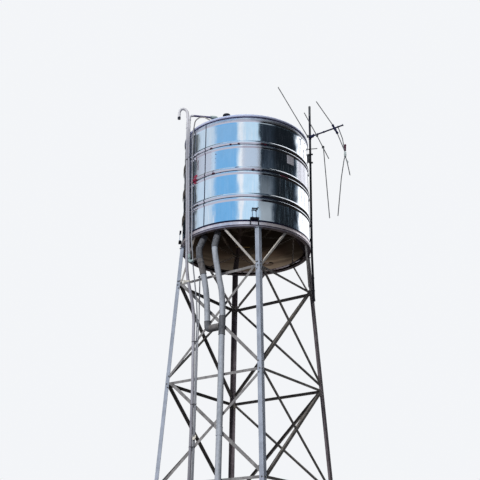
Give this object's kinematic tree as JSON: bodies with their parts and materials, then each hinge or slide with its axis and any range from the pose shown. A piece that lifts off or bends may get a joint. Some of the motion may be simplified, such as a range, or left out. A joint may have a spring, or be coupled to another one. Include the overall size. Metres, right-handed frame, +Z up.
{
  "type": "elevated stainless steel water tank",
  "caption": "Round polished stainless steel water tank on a ring, carried by a battered angle-iron tower, with pipes down one side and a bent aerial at the other.",
  "frame": {"origin": "the tower's axis at ground level, midway between the four feet", "axes": "+Z up along the tower's axis, -Y to the front, +X to the side with the aerial"},
  "size_m": [3.3985, 3.3112, 10.0375],
  "materials": {
    "polished_stainless": "mirror polished stainless sheet",
    "rim_stainless": "bright rolled stainless with a lavender cast",
    "galvanised_steel": "weathered galvanised angle",
    "weathered_steel": "dull galvanised angle with brown weathering",
    "black_steel": "dark painted steel",
    "grey_pvc": "matt grey pipe",
    "pale_pvc": "pale blue-grey pipe",
    "hose": "weathered beige hose",
    "black_plastic": "black plastic",
    "antenna_aluminium": "dull weathered aluminium"
  },
  "bodies": {
    "root": {"support_ring": "rim_stainless", "tank_shell_course_1": "polished_stainless", "tank_shell_course_2": "polished_stainless", "tank_shell_course_3": "polished_stainless", "tank_shell_course_4": "polished_stainless", "tank_roof": "rim_stainless", "roof_vent_cap": "black_plastic", "tank_bottom": "polished_stainless", "leg_front": "galvanised_steel", "leg_right": "galvanised_steel", "leg_back": "galvanised_steel", "leg_left": "galvanised_steel", "bracing_front_right_bay_1": "weathered_steel", "bracing_back_right_bay_1": "weathered_steel", "bracing_back_left_bay_1": "weathered_steel", "bracing_front_left_bay_1": "weathered_steel", "bracing_front_right_bay_2": "weathered_steel", "bracing_back_right_bay_2": "weathered_steel", "bracing_back_left_bay_2": "weathered_steel", "bracing_front_left_bay_2": "weathered_steel", "bracing_front_right_bay_3": "weathered_steel", "bracing_back_right_bay_3": "weathered_steel", "bracing_back_left_bay_3": "weathered_steel", "bracing_front_left_bay_3": "weathered_steel", "bracing_front_right_bay_4": "weathered_steel", "bracing_back_right_bay_4": "weathered_steel", "bracing_back_left_bay_4": "weathered_steel", "bracing_front_left_bay_4": "weathered_steel", "knee_brace_front_a": "weathered_steel", "knee_brace_front_b": "weathered_steel", "knee_brace_right_a": "weathered_steel", "knee_brace_right_b": "weathered_steel", "knee_brace_back_a": "weathered_steel", "knee_brace_back_b": "weathered_steel", "knee_brace_left_a": "weathered_steel", "knee_brace_left_b": "weathered_steel", "hold_down_clamp_front": "black_steel", "hold_down_clamp_right": "black_steel", "hold_down_clamp_back": "black_steel", "hold_down_clamp_left": "black_steel", "down_pipe": "grey_pvc", "outlet_pipe": "grey_pvc", "vent_pipe": "pale_pvc", "overflow_pipe": "pale_pvc", "level_hose": "hose", "conduit": "hose", "antenna_mast": "black_steel", "antenna_boom": "antenna_aluminium", "antenna_element_1": "antenna_aluminium", "antenna_element_2": "antenna_aluminium", "antenna_element_3": "antenna_aluminium"}
  },
  "joints": []
}
